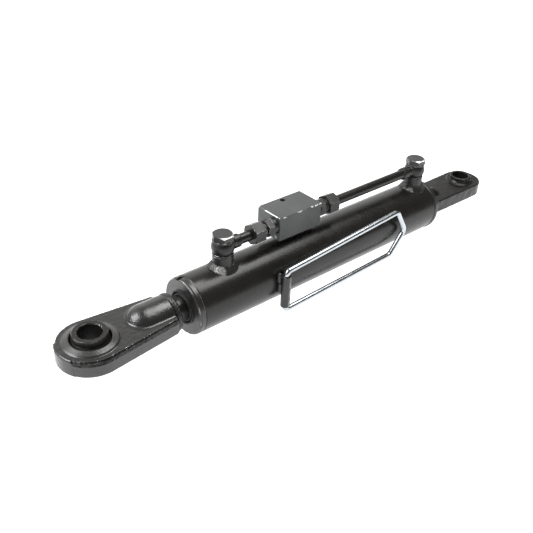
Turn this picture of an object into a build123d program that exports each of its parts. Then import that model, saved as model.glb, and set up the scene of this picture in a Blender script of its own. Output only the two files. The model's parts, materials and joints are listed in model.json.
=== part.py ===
"""Hydraulic top link: a double-acting cylinder with two ball eyes, a lock valve and a carrying bail.

All sizes are in millimetres. The origin is the centre of the base eye's bore. The cylinder lies
along X with the rod end towards -X, and the bores of both eyes and the lock valve point up, +Z.
"""

from math import cos, radians, sin, sqrt
import os

from build123d import *

os.makedirs("parts", exist_ok=True)

# ---------------------------------------------------------------- driving dimensions
PIN_SPACING = 595.0  # bore to bore with the rod in
RUNNING_GAP = 0.05  # radial gap of everything that slides or turns

# cylinder
BARREL_R = 33.25
BORE_R = 27.5
ROD_R = 15.0
TUBE_FRONT_X = -477.0
TUBE_REAR_X = -94.5
CAP_REAR_X = -83.5
CAP_REAR_R = 27.0

# gland and its seals
GLAND_FACE_X = TUBE_FRONT_X - 8.0
GLAND_FACE_R = 31.2
GLAND_THREAD_R = 29.2
GLAND_THREAD_LENGTH = 28.0
GLAND_PILOT_LENGTH = 11.0
GLAND_BORE_R = ROD_R + 0.6
WIPER_SEAT_R = 20.0
SEAL_GROOVE_R = 20.0
GUIDE_GROOVE_R = 17.6

# piston
PISTON_FRONT_X = -164.0
PISTON_LENGTH = 38.0
PISTON_R = 27.2
SPIGOT_R = 11.0
SEAL_FLOOR_R = 22.0
WEAR_FLOOR_R = 24.9
NUT_AF = 32.0

# eyes: rod end for a 25.4 mm pin, base end for a 22 mm pin
ROD_EYE_X = -PIN_SPACING
ROD_EYE_R = 36.3
ROD_EYE_HALF = 9.8
ROD_PIN_R = 12.7
ROD_BALL_R = 22.5
ROD_BALL_HALF = 19.9
ROD_COLLAR_R = 18.3
ROD_LIP_HALF = 13.4
ROD_LIP_BASE_R = 29.2
ROD_LIP_R = 22.6
ROD_MOUTH_R = 21.4  # opening round the collar, wide enough for ten degrees of tilt
ROD_MOUTH_START = 9.6
BASE_EYE_R = 26.0
BASE_EYE_HALF = 8.8
BASE_PIN_R = 11.2
BASE_BALL_R = 18.8
BASE_BALL_HALF = 16.1
BASE_COLLAR_R = 14.8
BASE_LIP_HALF = 10.6
BASE_LIP_R = 17.8
BASE_MOUTH_R = 17.2
BASE_MOUTH_START = 8.8

# forged rod end
FORGING_END_X = -505.0
FORGING_BOSS_R = 21.9
FORGING_NOSE_X = -533.0
FORGING_TAIL_HALF = 26.6
FORGING_BLEND_R = 3.0
EYE_RIM_R = 2.4

# ports, one at each end of the barrel
PORT_X = {"rod_side": -430.5, "base_side": -111.6}
PORT_INWARD = {"rod_side": 1, "base_side": -1}  # way from each port to the lock valve
BOSS_R = 11.9
BOSS_TOP_Z = 47.8
THREAD_R = 8.3  # G 3/8
WASHER_THICK = 2.0
BANJO_HEIGHT = 14.0
PIPE_Z = BOSS_TOP_Z + WASHER_THICK + BANJO_HEIGHT / 2
HEAD_AF = 22.0
HEAD_HEIGHT = 6.7
STUB_R = 7.8
STUB_REACH = {"rod_side": 22.0, "base_side": 27.0}
PIPE_R = 6.0
PIPE_BORE_R = 4.5
SOCKET_DEPTH = 8.0

# lock valve
BLOCK_X = -324.5
BLOCK_LENGTH = 64.6
BLOCK_FRONT_Y = -9.3
BLOCK_BACK_Y = 29.2
BLOCK_BOTTOM_Z = 39.4
BLOCK_TOP_Z = 68.8
VALVE_BORE_R = 5.0
STUD_R = 6.5
STUD_LENGTH = 7.5
HOSE_PORT_R = 7.5
HOSE_PORT_DEPTH = 12.0
HOSE_PORT_OFFSET = 14.5
FEED_R = 3.0
FIXING_HOLE_R = 3.3
FIXING_HOLE_Y = 23.0
BLOCK_EDGE = 0.4
SEAT_X = 18.5  # from the block's middle
SEAT_THICK = 2.5
SEAT_R = 2.6
CHECK_BALL_R = 3.5
PILOT_PIN_R = 1.8

# pipe unions, lengths counted out from the block's end face
UNION_SHOULDER = {"rod_side": 6.0, "base_side": 0.0}
UNION_SEAL = 1.0
UNION_HEX = 8.3
UNION_AF = 19.0
NECK_GAP = 5.6
NECK_R = 8.9
NUT_LENGTH = 14.5
TUBE_NUT_AF = 22.0
NECK_IN_NUT = 9.2
CUTTING_RING = 3.2

# carrying bail
SLEEVE_X = -370.9
SLEEVE_Y = -40.0
SLEEVE_R = 5.5
WIRE_R = 3.25
SLEEVE_TOP_Z = 14.6
SLEEVE_BOTTOM_Z = -25.8


def hexagon_bar(across_flats, start, way, length):
    """A hexagon bar growing from start along way, with two flats facing front and back."""
    base = Plane(origin=start, x_dir=(0, 1, 0), z_dir=way)
    with BuildSketch(base) as hexagon:
        RegularPolygon(across_flats / sqrt(3), 6, rotation=30)
    extrude(hexagon.sketch, amount=length)


def turn_x(*outline, mode=Mode.ADD):
    """Turn an outline of (x, radius) points about the cylinder's axis."""
    with BuildSketch(Plane.XY) as half:
        with BuildLine():
            Polyline(*outline, close=True)
        make_face()
    revolve(half.sketch, axis=Axis.X, mode=mode)


def turn_x_at(height, *outline, mode=Mode.ADD):
    """Turn an outline of (x, radius) points about an axis along X at the given height."""
    with BuildSketch(Plane.XY.offset(height)) as half:
        with BuildLine():
            Polyline(*outline, close=True)
        make_face()
    revolve(half.sketch, axis=Axis((0, 0, height), (1, 0, 0)), mode=mode)


def turn_z(centre_x, *outline, mode=Mode.ADD):
    """Turn an outline of (radius, z) points about the upright line at centre_x."""
    with BuildSketch(Plane.XZ) as half:
        with BuildLine():
            Polyline(*[(centre_x + radius, z) for radius, z in outline], close=True)
        make_face()
    revolve(half.sketch, axis=Axis((centre_x, 0, 0), (0, 0, 1)), mode=mode)


def barrel_space(mode=Mode.SUBTRACT):
    """The room that the barrel takes, for trimming what is welded to it."""
    turn_x((TUBE_FRONT_X, 0), (TUBE_FRONT_X, BARREL_R), (TUBE_REAR_X, BARREL_R), (TUBE_REAR_X, 0), mode=mode)


# ---------------------------------------------------------------- barrel
CAP_BEVEL_START_X = TUBE_REAR_X + 3.5
WELD_PREP = 3.0
PORT_DRILL_R = 4.5
PORT_DRILL_Z = (BORE_R - 5, BARREL_R + 3)
TUBE_EDGE = 0.8

with BuildPart() as barrel_tube:
    turn_x(
        (TUBE_FRONT_X, GLAND_THREAD_R),
        (TUBE_FRONT_X, BARREL_R - TUBE_EDGE),
        (TUBE_FRONT_X + TUBE_EDGE, BARREL_R),
        (TUBE_REAR_X - WELD_PREP, BARREL_R),
        (TUBE_REAR_X, BARREL_R - WELD_PREP),
        (TUBE_REAR_X, BORE_R),
        (TUBE_FRONT_X + GLAND_THREAD_LENGTH, BORE_R),
        (TUBE_FRONT_X + GLAND_THREAD_LENGTH, GLAND_THREAD_R),
    )
    for port_x in PORT_X.values():
        drill_start_z, drill_end_z = PORT_DRILL_Z
        turn_z(
            port_x,
            (0, drill_start_z),
            (PORT_DRILL_R, drill_start_z),
            (PORT_DRILL_R, drill_end_z),
            (0, drill_end_z),
            mode=Mode.SUBTRACT,
        )
barrel_tube.part.label = "barrel_tube"
export_step(barrel_tube.part, "parts/barrel_tube.step")

CAP_SPIGOT = 11.5
CAP_LEAD = 2.0
with BuildPart() as base_cap:
    turn_x(
        (TUBE_REAR_X - CAP_SPIGOT, 0),
        (TUBE_REAR_X - CAP_SPIGOT, BORE_R - CAP_LEAD),
        (TUBE_REAR_X - CAP_SPIGOT + CAP_LEAD, BORE_R),
        (TUBE_REAR_X, BORE_R),
        (TUBE_REAR_X, BARREL_R - WELD_PREP),
        (CAP_BEVEL_START_X, BARREL_R),
        (CAP_REAR_X, CAP_REAR_R),
        (CAP_REAR_X, 0),
    )
base_cap.part.label = "base_cap"
export_step(base_cap.part, "parts/base_cap.step")

WELD_CROWN = 0.6
with BuildPart() as base_cap_weld:
    with BuildSketch(Plane.XY) as bead:
        with BuildLine():
            Polyline(
                (CAP_BEVEL_START_X, BARREL_R),
                (TUBE_REAR_X, BARREL_R - WELD_PREP),
                (TUBE_REAR_X - WELD_PREP, BARREL_R),
            )
            ThreePointArc(
                (TUBE_REAR_X - WELD_PREP, BARREL_R),
                (TUBE_REAR_X, BARREL_R + WELD_CROWN),
                (CAP_BEVEL_START_X, BARREL_R),
            )
        make_face()
    revolve(axis=Axis.X)
base_cap_weld.part.label = "base_cap_weld"
export_step(base_cap_weld.part, "parts/base_cap_weld.step")

# ---------------------------------------------------------------- gland and seals
GLAND_FLANGE_X = GLAND_FACE_X + 2.8
THREAD_END_X = TUBE_FRONT_X + GLAND_THREAD_LENGTH
GLAND_END_X = THREAD_END_X + GLAND_PILOT_LENGTH
WIPER_SEAT_X = GLAND_FACE_X + 5.5
ROD_SEAL_X = (GLAND_FACE_X + 12.0, GLAND_FACE_X + 19.5)
GUIDE_X = (GLAND_FACE_X + 24.0, GLAND_FACE_X + 36.0)
O_RING_X = (GLAND_END_X - 7.4, GLAND_END_X - 4.0)
O_RING_FLOOR_R = 25.2
PILOT_R = BORE_R - 0.05
FACE_BEVEL = 0.8
GLAND_EDGE = 0.9
PILOT_LEAD = 1.5
NOTCH_SIZE = (7.4, 6.0)
NOTCH_DEPTH = 2.2
NOTCH_LEAN = 14.0  # degrees that the spanner notches stand back from the top

with BuildPart() as gland:
    turn_x(
        (GLAND_FACE_X, GLAND_BORE_R),
        (GLAND_FACE_X, GLAND_FACE_R),
        (GLAND_FACE_X + FACE_BEVEL, GLAND_FACE_R + 1.1),
        (GLAND_FLANGE_X, BARREL_R),
        (TUBE_FRONT_X - GLAND_EDGE, BARREL_R),
        (TUBE_FRONT_X, BARREL_R - GLAND_EDGE),
        (TUBE_FRONT_X, GLAND_THREAD_R),
        (THREAD_END_X, GLAND_THREAD_R),
        (THREAD_END_X, PILOT_R),
        (GLAND_END_X - PILOT_LEAD, PILOT_R),
        (GLAND_END_X, PILOT_R - PILOT_LEAD),
        (GLAND_END_X, GLAND_BORE_R),
    )
    for start_x, end_x, groove_r in (
        (GLAND_FACE_X, WIPER_SEAT_X, WIPER_SEAT_R),
        (*ROD_SEAL_X, SEAL_GROOVE_R),
        (*GUIDE_X, GUIDE_GROOVE_R),
    ):
        turn_x((start_x, ROD_R), (start_x, groove_r), (end_x, groove_r), (end_x, ROD_R), mode=Mode.SUBTRACT)
    turn_x(
        (O_RING_X[0], O_RING_FLOOR_R),
        (O_RING_X[0], BORE_R + 1),
        (O_RING_X[1], BORE_R + 1),
        (O_RING_X[1], O_RING_FLOOR_R),
        mode=Mode.SUBTRACT,
    )
    for half_turn in (0, 180):
        notch_plane = Plane(
            origin=(GLAND_FACE_X, 0, 0),
            x_dir=(1, 0, 0),
            z_dir=(0, sin(radians(NOTCH_LEAN + half_turn)), cos(radians(NOTCH_LEAN + half_turn))),
        )
        with BuildSketch(notch_plane.offset(BARREL_R - NOTCH_DEPTH)):
            with Locations((NOTCH_SIZE[0] / 2 - GLAND_EDGE, 0)):
                Rectangle(*NOTCH_SIZE)
        extrude(amount=2 * NOTCH_DEPTH, mode=Mode.SUBTRACT)
gland.part.label = "gland"
export_step(gland.part, "parts/gland.step")

SEAL_BORE_R = ROD_R + RUNNING_GAP
WIPER_FACE_X = GLAND_FACE_X - 1.2
WIPER_LIP_X = GLAND_FACE_X - 1.6
with BuildPart() as wiper_seal:
    turn_x(
        (WIPER_LIP_X, SEAL_BORE_R),
        (WIPER_LIP_X, SEAL_BORE_R + 0.8),
        (GLAND_FACE_X + 1.8, SEAL_BORE_R + 2.0),
        (WIPER_FACE_X, WIPER_SEAT_R - 1.6),
        (WIPER_FACE_X, WIPER_SEAT_R),
        (WIPER_SEAT_X, WIPER_SEAT_R),
        (WIPER_SEAT_X, SEAL_BORE_R + 1.0),
        (WIPER_SEAT_X - 1.0, SEAL_BORE_R),
    )
wiper_seal.part.label = "wiper_seal"
export_step(wiper_seal.part, "parts/wiper_seal.step")

with BuildPart() as rod_seal:
    seal_start = ROD_SEAL_X[0] + 0.1
    seal_end = ROD_SEAL_X[1] - 0.1
    turn_x(
        (seal_start, SEAL_BORE_R + 0.8),
        (seal_start, SEAL_GROOVE_R),
        (seal_end, SEAL_GROOVE_R),
        (seal_end, SEAL_GROOVE_R - 1.2),
        (seal_end - 3.0, (SEAL_BORE_R + SEAL_GROOVE_R) / 2),
        (seal_end, SEAL_BORE_R + 1.2),
        (seal_end, SEAL_BORE_R),
        (seal_start + 0.8, SEAL_BORE_R),
    )
rod_seal.part.label = "rod_seal"
export_step(rod_seal.part, "parts/rod_seal.step")

with BuildPart() as rod_guide_ring:
    turn_x(
        (GUIDE_X[0] + 0.1, SEAL_BORE_R),
        (GUIDE_X[0] + 0.1, GUIDE_GROOVE_R),
        (GUIDE_X[1] - 0.1, GUIDE_GROOVE_R),
        (GUIDE_X[1] - 0.1, SEAL_BORE_R),
    )
rod_guide_ring.part.label = "rod_guide_ring"
export_step(rod_guide_ring.part, "parts/rod_guide_ring.step")

with BuildPart() as gland_o_ring:
    cord_r = (BORE_R - O_RING_FLOOR_R) / 2
    with BuildSketch(Plane.XY):
        with Locations((sum(O_RING_X) / 2, O_RING_FLOOR_R + cord_r)):
            Circle(cord_r)
    revolve(axis=Axis.X)
gland_o_ring.part.label = "gland_o_ring"
export_step(gland_o_ring.part, "parts/gland_o_ring.step")

# ---------------------------------------------------------------- rod and piston
PISTON_REAR_X = PISTON_FRONT_X + PISTON_LENGTH
NUT_END_X = PISTON_REAR_X + 14.0
SPIGOT_END_X = NUT_END_X + 1.5
PISTON_O_RING_X = PISTON_FRONT_X + 6.0
PISTON_O_RING_R = 1.0
ROD_LEAD = 2.0
SPIGOT_EDGE = 1.2
O_RING_GROOVE = 2.6
RING_END_PLAY = 0.1

with BuildPart() as piston_rod:
    turn_x(
        (FORGING_END_X, 0),
        (FORGING_END_X, ROD_R - ROD_LEAD),
        (FORGING_END_X + ROD_LEAD, ROD_R),
        (PISTON_FRONT_X - ROD_LEAD, ROD_R),
        (PISTON_FRONT_X, ROD_R - SPIGOT_EDGE),
        (PISTON_FRONT_X, SPIGOT_R),
        (SPIGOT_END_X - SPIGOT_EDGE, SPIGOT_R),
        (SPIGOT_END_X, SPIGOT_R - SPIGOT_EDGE),
        (SPIGOT_END_X, 0),
    )
piston_rod.part.label = "piston_rod"
export_step(piston_rod.part, "parts/piston_rod.step")

FRONT_WEAR_X = (PISTON_FRONT_X + 2.5, PISTON_FRONT_X + 8.5)
PISTON_SEAL_X = (PISTON_FRONT_X + 13.0, PISTON_FRONT_X + 25.0)
REAR_WEAR_X = (PISTON_REAR_X - 8.5, PISTON_REAR_X - 2.5)
with BuildPart() as piston:
    turn_x(
        (PISTON_FRONT_X, SPIGOT_R),
        (PISTON_FRONT_X, PISTON_R - 1),
        (PISTON_FRONT_X + 1, PISTON_R),
        (PISTON_REAR_X - 1, PISTON_R),
        (PISTON_REAR_X, PISTON_R - 1),
        (PISTON_REAR_X, SPIGOT_R),
    )
    for (start_x, end_x), floor_r in (
        (FRONT_WEAR_X, WEAR_FLOOR_R),
        (PISTON_SEAL_X, SEAL_FLOOR_R),
        (REAR_WEAR_X, WEAR_FLOOR_R),
    ):
        turn_x((start_x, floor_r), (start_x, BORE_R), (end_x, BORE_R), (end_x, floor_r), mode=Mode.SUBTRACT)
    groove_start = PISTON_O_RING_X - O_RING_GROOVE / 2
    groove_end = PISTON_O_RING_X + O_RING_GROOVE / 2
    groove_r = SPIGOT_R + 2 * PISTON_O_RING_R
    turn_x(
        (groove_start, SPIGOT_R - 1),
        (groove_start, groove_r),
        (groove_end, groove_r),
        (groove_end, SPIGOT_R - 1),
        mode=Mode.SUBTRACT,
    )
piston.part.label = "piston"
export_step(piston.part, "parts/piston.step")

with BuildPart() as piston_o_ring:
    with BuildSketch(Plane.XY):
        with Locations((PISTON_O_RING_X, SPIGOT_R + PISTON_O_RING_R)):
            Circle(PISTON_O_RING_R)
    revolve(axis=Axis.X)
piston_o_ring.part.label = "piston_o_ring"
export_step(piston_o_ring.part, "parts/piston_o_ring.step")

RING_OUTER_R = BORE_R - RUNNING_GAP
with BuildPart() as piston_wear_rings:
    for start_x, end_x in (FRONT_WEAR_X, REAR_WEAR_X):
        turn_x(
            (start_x + RING_END_PLAY, WEAR_FLOOR_R + RUNNING_GAP),
            (start_x + RING_END_PLAY, RING_OUTER_R),
            (end_x - RING_END_PLAY, RING_OUTER_R),
            (end_x - RING_END_PLAY, WEAR_FLOOR_R + RUNNING_GAP),
        )
piston_wear_rings.part.label = "piston_wear_rings"
export_step(piston_wear_rings.part, "parts/piston_wear_rings.step")

with BuildPart() as piston_seal:
    seal_start = PISTON_SEAL_X[0] + RING_END_PLAY
    seal_end = PISTON_SEAL_X[1] - RING_END_PLAY
    seal_middle = (seal_start + seal_end) / 2
    turn_x(
        (seal_start, SEAL_FLOOR_R + RUNNING_GAP),
        (seal_start, RING_OUTER_R - 0.6),
        (seal_middle - 3, RING_OUTER_R - 0.6),
        (seal_middle - 2, RING_OUTER_R),
        (seal_middle + 2, RING_OUTER_R),
        (seal_middle + 3, RING_OUTER_R - 0.6),
        (seal_end, RING_OUTER_R - 0.6),
        (seal_end, SEAL_FLOOR_R + RUNNING_GAP),
    )
piston_seal.part.label = "piston_seal"
export_step(piston_seal.part, "parts/piston_seal.step")

with BuildPart() as piston_nut:
    hexagon_bar(NUT_AF, (PISTON_REAR_X, 0, 0), (1, 0, 0), NUT_END_X - PISTON_REAR_X)
    turn_x(
        (NUT_END_X - 2.5, NUT_AF / 2 + 4),
        (NUT_END_X + 1, NUT_AF / 2 - 2),
        (NUT_END_X + 1, NUT_AF / 2 + 4),
        mode=Mode.SUBTRACT,
    )
    turn_x(
        (PISTON_REAR_X, 0),
        (PISTON_REAR_X, SPIGOT_R),
        (NUT_END_X, SPIGOT_R),
        (NUT_END_X, 0),
        mode=Mode.SUBTRACT,
    )
piston_nut.part.label = "piston_nut"
export_step(piston_nut.part, "parts/piston_nut.step")


# ---------------------------------------------------------------- eyes
def round_boss(nose_x, end_x, radius):
    """A half-round boss along the axis, ending in a ball-shaped nose at nose_x."""
    way = 1 if nose_x > end_x else -1
    with BuildSketch(Plane.XY) as half:
        with BuildLine():
            Polyline((nose_x + way * radius, 0), (end_x, 0), (end_x, radius), (nose_x, radius))
            RadiusArc((nose_x, radius), (nose_x + way * radius, 0), way * radius)
        make_face()
    revolve(half.sketch, axis=Axis.X)


def ball_radius_at(ball_r, height):
    """The radius of a ball's level cut at the given height over its middle."""
    return sqrt((ball_r + RUNNING_GAP) ** 2 - height**2)


def eye_ball(centre_x, pin_r, ball_r, collar_r, half_width):
    """A drilled ball with a plain collar on each side, on an upright axis."""
    meet_z = sqrt(ball_r**2 - collar_r**2)
    edge = 0.7
    with BuildSketch(Plane.XZ) as half:
        with BuildLine():
            Polyline(
                (centre_x + collar_r, meet_z),
                (centre_x + collar_r, half_width - edge),
                (centre_x + collar_r - edge, half_width),
                (centre_x + pin_r + edge, half_width),
                (centre_x + pin_r, half_width - edge),
                (centre_x + pin_r, edge - half_width),
                (centre_x + pin_r + edge, -half_width),
                (centre_x + collar_r - edge, -half_width),
                (centre_x + collar_r, edge - half_width),
                (centre_x + collar_r, -meet_z),
            )
            ThreePointArc(
                (centre_x + collar_r, -meet_z), (centre_x + ball_r, 0), (centre_x + collar_r, meet_z)
            )
        make_face()
    revolve(half.sketch, axis=Axis((centre_x, 0, 0), (0, 0, 1)))


with BuildPart() as rod_eye:
    with BuildSketch(Plane.XY) as flange_outline:
        with BuildLine():
            CenterArc((ROD_EYE_X, 0), ROD_EYE_R, 0, 360)
            Line((FORGING_END_X, -FORGING_TAIL_HALF), (FORGING_END_X, FORGING_TAIL_HALF))
        make_hull()
        fillet(flange_outline.vertices().group_by(Axis.X)[-1], 5)
    extrude(amount=ROD_EYE_HALF, both=True)
    round_boss(FORGING_NOSE_X, FORGING_END_X, FORGING_BOSS_R)
    blend_start_x = FORGING_NOSE_X - FORGING_BOSS_R - 2
    boss_feet = [
        edge
        for edge in rod_eye.edges()
        if abs(abs(edge.center().Z) - ROD_EYE_HALF) < 0.01
        and blend_start_x < edge.center().X < FORGING_END_X - 1
        and abs(edge.center().Y) < FORGING_BOSS_R
    ]
    fillet(boss_feet, FORGING_BLEND_R)
    outer_rims = [
        edge
        for edge in rod_eye.edges()
        if abs(abs(edge.center().Z) - ROD_EYE_HALF) < 0.01
        and edge.center().X < FORGING_END_X - 1
        and (edge.center().X < blend_start_x or abs(edge.center().Y) > FORGING_BOSS_R)
    ]
    fillet(outer_rims, EYE_RIM_R)
    for side in (1, -1):
        turn_z(
            ROD_EYE_X,
            (0, 0),
            (ROD_LIP_BASE_R, 0),
            (ROD_LIP_BASE_R, side * ROD_EYE_HALF),
            (ROD_LIP_BASE_R - 1.4, side * (ROD_EYE_HALF + 1.6)),
            (ROD_LIP_R, side * ROD_LIP_HALF),
            (0, side * ROD_LIP_HALF),
        )
    with Locations((ROD_EYE_X, 0, 0)):
        Sphere(ROD_BALL_R + RUNNING_GAP, mode=Mode.SUBTRACT)
    for side in (1, -1):
        turn_z(
            ROD_EYE_X,
            (0, side * ROD_MOUTH_START),
            (ball_radius_at(ROD_BALL_R, ROD_MOUTH_START), side * ROD_MOUTH_START),
            (ROD_MOUTH_R, side * ROD_LIP_HALF),
            (0, side * ROD_LIP_HALF),
            mode=Mode.SUBTRACT,
        )
rod_eye.part.label = "rod_eye"
export_step(rod_eye.part, "parts/rod_eye.step")

with BuildPart() as rod_eye_ball:
    eye_ball(ROD_EYE_X, ROD_PIN_R, ROD_BALL_R, ROD_COLLAR_R, ROD_BALL_HALF)
rod_eye_ball.part.label = "rod_eye_ball"
export_step(rod_eye_ball.part, "parts/rod_eye_ball.step")

with BuildPart() as rod_eye_weld:
    turn_x(
        (FORGING_END_X, ROD_R - ROD_LEAD),
        (FORGING_END_X, FORGING_BOSS_R - 0.9),
        (FORGING_END_X + 1.6, FORGING_BOSS_R),
        (FORGING_END_X + 4.6, FORGING_BOSS_R),
        (FORGING_END_X + 6.2, FORGING_BOSS_R - 1.6),
        (FORGING_END_X + 7.4, ROD_R + 1.6),
        (FORGING_END_X + 9.0, ROD_R),
        (FORGING_END_X + ROD_LEAD, ROD_R),
    )
rod_eye_weld.part.label = "rod_eye_weld"
export_step(rod_eye_weld.part, "parts/rod_eye_weld.step")

BASE_TIP_X = 4.4  # the plate is a little longer beyond the bore
BASE_HALF_WIDTH = 25.0
BASE_RIM_R = 1.0
BASE_BOSS_R = 15.0
BASE_NOSE_X = -66.4
with BuildPart() as base_eye:
    with BuildSketch(Plane.XY):
        with BuildLine():
            CenterArc((BASE_TIP_X, 0), BASE_EYE_R, 0, 360)
            Line((CAP_REAR_X, -BASE_HALF_WIDTH), (CAP_REAR_X, BASE_HALF_WIDTH))
        make_hull()
    extrude(amount=BASE_EYE_HALF, both=True)
    rims = base_eye.edges().group_by(Axis.Z)
    fillet([edge for edge in rims[0] + rims[-1] if edge.center().X > CAP_REAR_X + 1], BASE_RIM_R)
    round_boss(BASE_NOSE_X, CAP_REAR_X, BASE_BOSS_R)
    for side in (1, -1):
        turn_z(
            0,
            (0, 0),
            (BASE_LIP_R + 0.6, 0),
            (BASE_LIP_R + 0.6, side * BASE_EYE_HALF),
            (BASE_LIP_R, side * (BASE_LIP_HALF - 0.3)),
            (BASE_LIP_R - 0.2, side * BASE_LIP_HALF),
            (0, side * BASE_LIP_HALF),
        )
    Sphere(BASE_BALL_R + RUNNING_GAP, mode=Mode.SUBTRACT)
    for side in (1, -1):
        turn_z(
            0,
            (0, side * BASE_MOUTH_START),
            (ball_radius_at(BASE_BALL_R, BASE_MOUTH_START), side * BASE_MOUTH_START),
            (BASE_MOUTH_R, side * BASE_LIP_HALF),
            (0, side * BASE_LIP_HALF),
            mode=Mode.SUBTRACT,
        )
base_eye.part.label = "base_eye"
export_step(base_eye.part, "parts/base_eye.step")

with BuildPart() as base_eye_ball:
    eye_ball(0, BASE_PIN_R, BASE_BALL_R, BASE_COLLAR_R, BASE_BALL_HALF)
base_eye_ball.part.label = "base_eye_ball"
export_step(base_eye_ball.part, "parts/base_eye_ball.step")

FILLET_LEG = 4.5
FOOT_SPREAD = 1.6
with BuildPart() as base_eye_weld:
    foot = (2 * (BASE_HALF_WIDTH + FOOT_SPREAD), 2 * (BASE_EYE_HALF + FILLET_LEG))
    neck = (2 * BASE_HALF_WIDTH + 0.6, 2 * BASE_EYE_HALF + 0.6)
    with BuildSketch(Plane.YZ.offset(CAP_REAR_X)):
        RectangleRounded(*foot, 4)
    with BuildSketch(Plane.YZ.offset(CAP_REAR_X + FILLET_LEG)):
        RectangleRounded(*neck, 1.5)
    loft()
    turn_x(
        (CAP_REAR_X, 0),
        (CAP_REAR_X, CAP_REAR_R),
        (CAP_REAR_X + 8, CAP_REAR_R),
        (CAP_REAR_X + 8, 0),
        mode=Mode.INTERSECT,
    )
    add(base_eye.part, mode=Mode.SUBTRACT)
base_eye_weld.part.label = "base_eye_weld"
export_step(base_eye_weld.part, "parts/base_eye_weld.step")


# ---------------------------------------------------------------- ports and banjo joints
WASHER_R = BOSS_R
HEAD_BOTTOM_Z = BOSS_TOP_Z + 2 * WASHER_THICK + BANJO_HEIGHT
HEAD_TOP_Z = HEAD_BOTTOM_Z + HEAD_HEIGHT
SHANK_END_Z = 36.0
BOSS_FOOT_Z = 20.0
BOSS_EDGE = 0.6
HEAD_CHAMFER = 2.4
WAIST_HALF = 4.5
WASHER_EDGE = 0.3
BOLT_PLAY = 0.15
STUB_NECK = 1.2
STUB_HEAD = 9.0
WAIST_R = 6.4
OIL_BORE_R = 3.5
CROSS_HOLE_R = 2.4
PORT_WELD_LEG = 6.0
BANJO_MID_R = 13.1
BANJO_END_R = 10.9

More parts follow.
